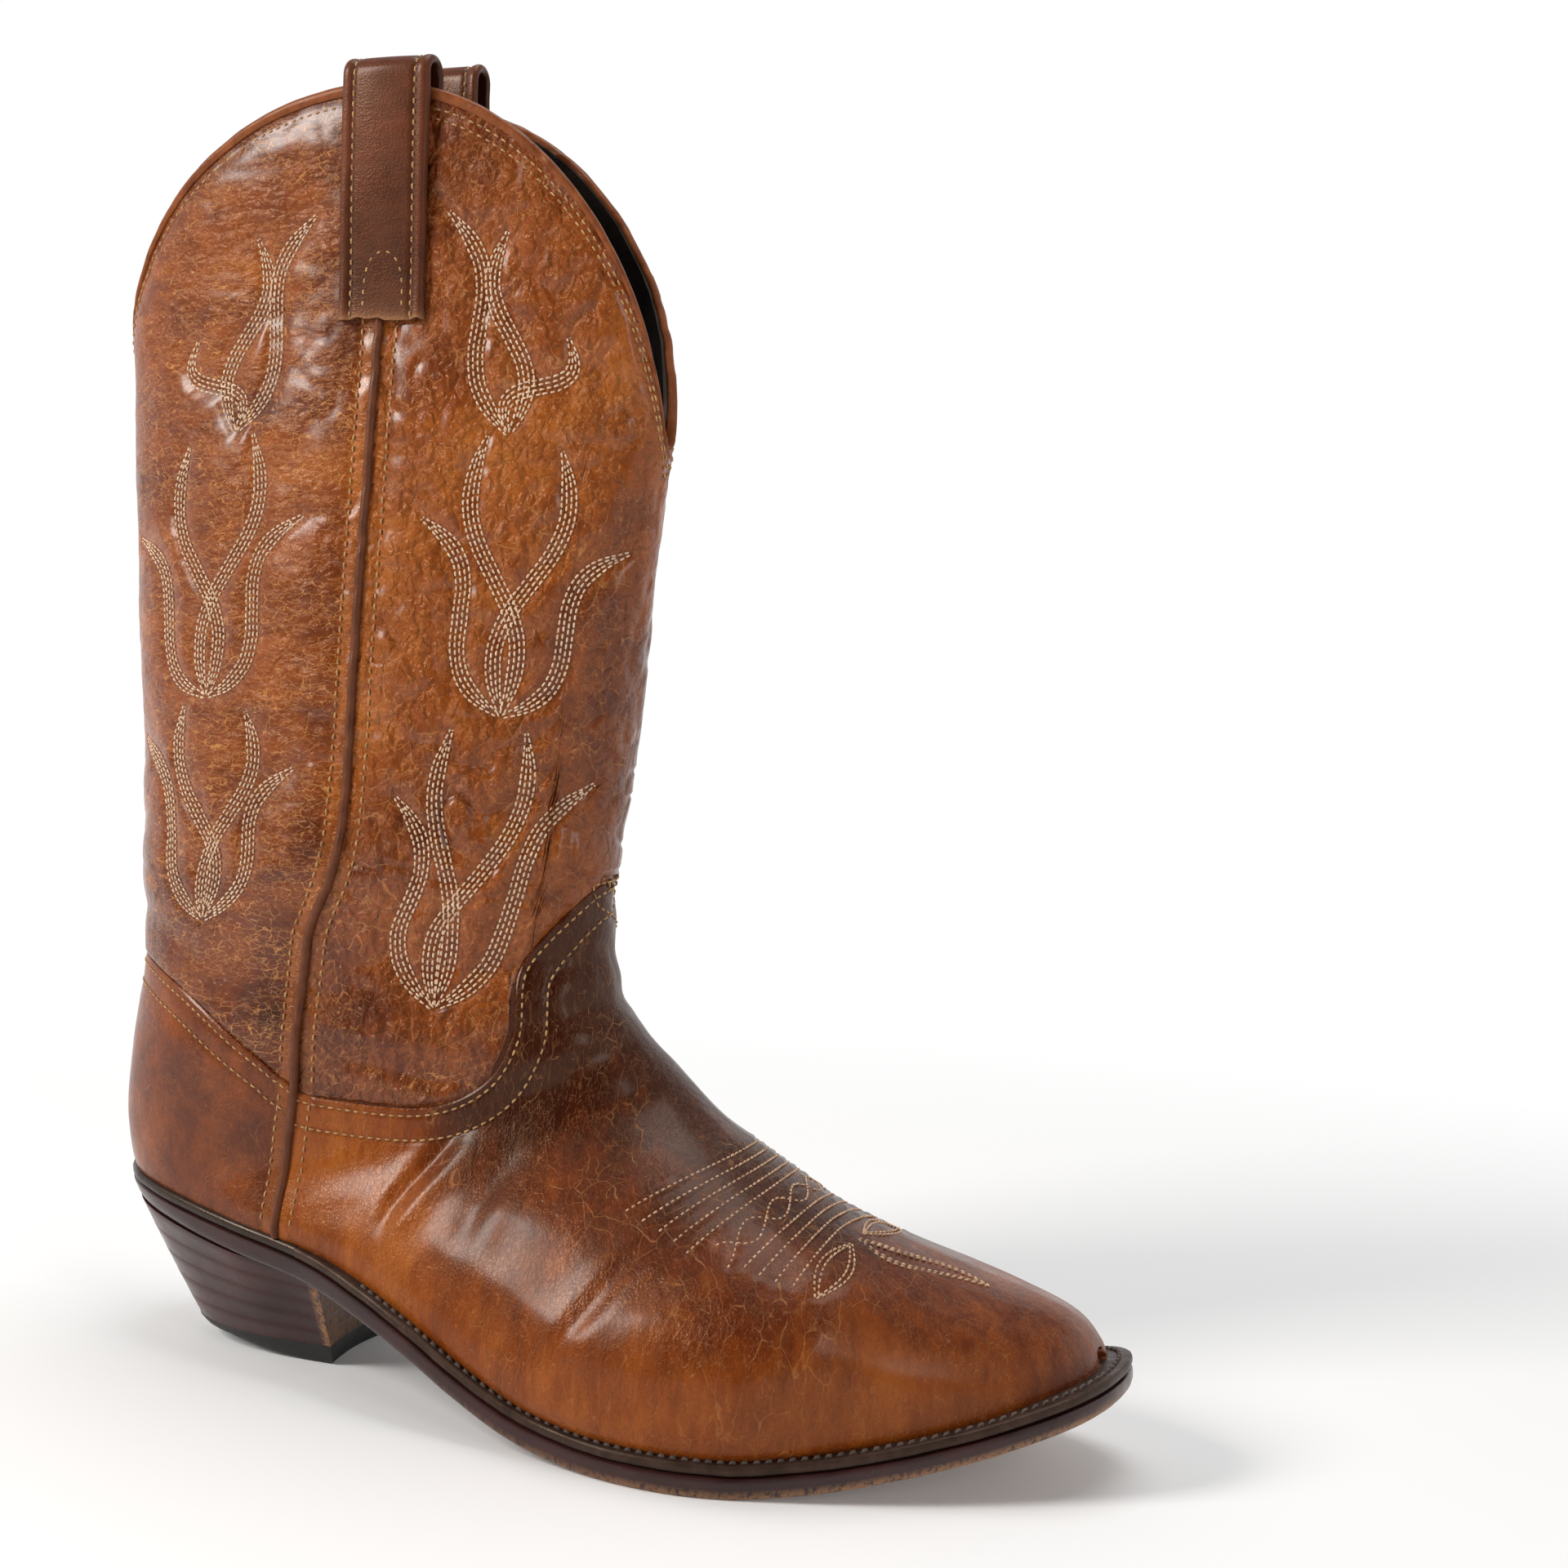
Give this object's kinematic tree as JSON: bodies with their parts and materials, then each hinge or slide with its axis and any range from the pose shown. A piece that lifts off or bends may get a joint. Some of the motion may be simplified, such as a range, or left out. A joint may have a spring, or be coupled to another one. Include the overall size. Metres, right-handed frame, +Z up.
{
  "type": "western riding boot",
  "caption": "Pull-on western leather boot for the right foot: stitched shaft with a scalloped top and pull straps, welted leather sole, undershot stacked heel.",
  "frame": {"origin": "middle of the boot's footprint box, on the floor it stands on", "axes": "+X to the toe, +Y to the inner (medial) side, +Z up the shaft"},
  "size_m": [0.32, 0.112, 0.39],
  "materials": {
    "cognac_leather": "glossy aged pull-up leather, orange-tan to red-brown, fine creases",
    "binding_leather": "satin folded edge, brown with worn tan",
    "strap_leather": "smooth semi-gloss chocolate brown",
    "piping_leather": "smooth satin cord, mid brown",
    "shaft_lining_leather": "matt black smooth lining",
    "foot_lining_leather": "matt natural lining",
    "leather_board": "matt fibre board",
    "insole_leather": "matt vegetable-tanned",
    "welt_leather": "dark brown-black, burnished, stitched",
    "sole_leather": "burnished dark burgundy edge, worn tan underneath",
    "stack_leather": "burnished dark burgundy stack",
    "cap_rubber": "matt black rubber",
    "cork": "matt granulated cork",
    "peg_wood": "matt lemonwood",
    "steel": "plain steel"
  },
  "bodies": {
    "root": {"back_shaft_lining": "shaft_lining_leather", "back_shaft_panel": "cognac_leather", "cork_filler": "cork", "counter_stiffener": "leather_board", "front_shaft_lining": "shaft_lining_leather", "front_shaft_panel": "cognac_leather", "heel_cap": "cap_rubber", "heel_counter": "cognac_leather", "heel_lift_1": "stack_leather", "heel_lift_2": "stack_leather", "heel_lift_3": "stack_leather", "heel_lift_4": "stack_leather", "heel_lift_5": "stack_leather", "heel_lining": "foot_lining_leather", "heel_nail_1": "steel", "heel_nail_2": "steel", "heel_nail_3": "steel", "heel_nail_4": "steel", "heel_nail_5": "steel", "heel_pad": "foot_lining_leather", "heel_rand": "welt_leather", "insole": "insole_leather", "outsole": "sole_leather", "pull_strap_inner": "strap_leather", "pull_strap_outer": "strap_leather", "side_piping_inner": "piping_leather", "side_piping_outer": "piping_leather", "steel_shank": "steel", "toe_box": "leather_board", "top_binding_back": "binding_leather", "top_binding_front": "binding_leather", "vamp": "cognac_leather", "vamp_lining": "foot_lining_leather", "welt": "welt_leather", "wood_peg_inner_1": "peg_wood", "wood_peg_inner_2": "peg_wood", "wood_peg_inner_3": "peg_wood", "wood_peg_inner_4": "peg_wood", "wood_peg_outer_1": "peg_wood", "wood_peg_outer_2": "peg_wood", "wood_peg_outer_3": "peg_wood", "wood_peg_outer_4": "peg_wood"}
  },
  "joints": []
}
